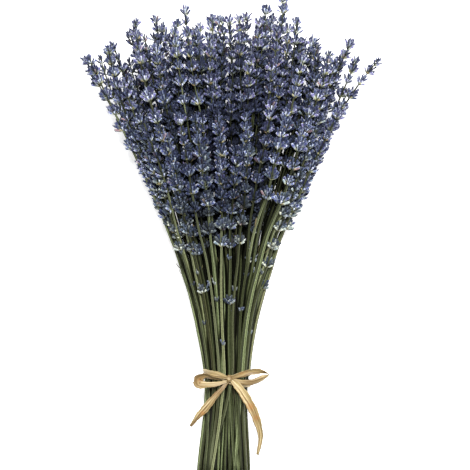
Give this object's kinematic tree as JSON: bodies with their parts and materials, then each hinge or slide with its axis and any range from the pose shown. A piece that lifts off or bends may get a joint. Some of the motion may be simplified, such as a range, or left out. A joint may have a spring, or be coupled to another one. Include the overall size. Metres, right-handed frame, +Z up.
{
  "type": "dried lavender bunch",
  "caption": "Bunch of dried lavender lying on a surface: slender stems with flower spikes fanned out above a tied raffia bow.",
  "frame": {"origin": "middle of the bunch's outline seen from above, on the surface that it lies on", "axes": "+X across the bunch to the right, +Y from the cut ends to the flower tips, +Z up from the surface"},
  "size_m": [0.2792, 0.4404, 0.0948],
  "materials": {
    "stem": "dry, grey-green, matt",
    "flower": "dry, grey violet, downy",
    "raffia": "dry straw, fibrous, satin"
  },
  "bodies": {
    "root": {"flowers_1_1": "flower", "flowers_1_2": "flower", "flowers_1_3": "flower", "flowers_1_4": "flower", "flowers_2_1": "flower", "flowers_2_2": "flower", "flowers_2_3": "flower", "flowers_2_4": "flower", "flowers_2_5": "flower", "flowers_2_6": "flower", "flowers_3_1": "flower", "flowers_3_2": "flower", "flowers_3_3": "flower", "flowers_3_4": "flower", "flowers_3_5": "flower", "flowers_3_6": "flower", "flowers_3_7": "flower", "flowers_4_1": "flower", "flowers_4_2": "flower", "flowers_4_3": "flower", "flowers_4_4": "flower", "flowers_4_5": "flower", "flowers_4_6": "flower", "flowers_5_1": "flower", "flowers_5_2": "flower", "flowers_5_3": "flower", "flowers_5_4": "flower", "flowers_stray": "flower", "raffia_bow": "raffia", "stems_1_1": "stem", "stems_1_2": "stem", "stems_1_3": "stem", "stems_1_4": "stem", "stems_2_1": "stem", "stems_2_2": "stem", "stems_2_3": "stem", "stems_2_4": "stem", "stems_2_5": "stem", "stems_2_6": "stem", "stems_3_1": "stem", "stems_3_2": "stem", "stems_3_3": "stem", "stems_3_4": "stem", "stems_3_5": "stem", "stems_3_6": "stem", "stems_3_7": "stem", "stems_4_1": "stem", "stems_4_2": "stem", "stems_4_3": "stem", "stems_4_4": "stem", "stems_4_5": "stem", "stems_4_6": "stem", "stems_5_1": "stem", "stems_5_2": "stem", "stems_5_3": "stem", "stems_5_4": "stem"}
  },
  "joints": []
}
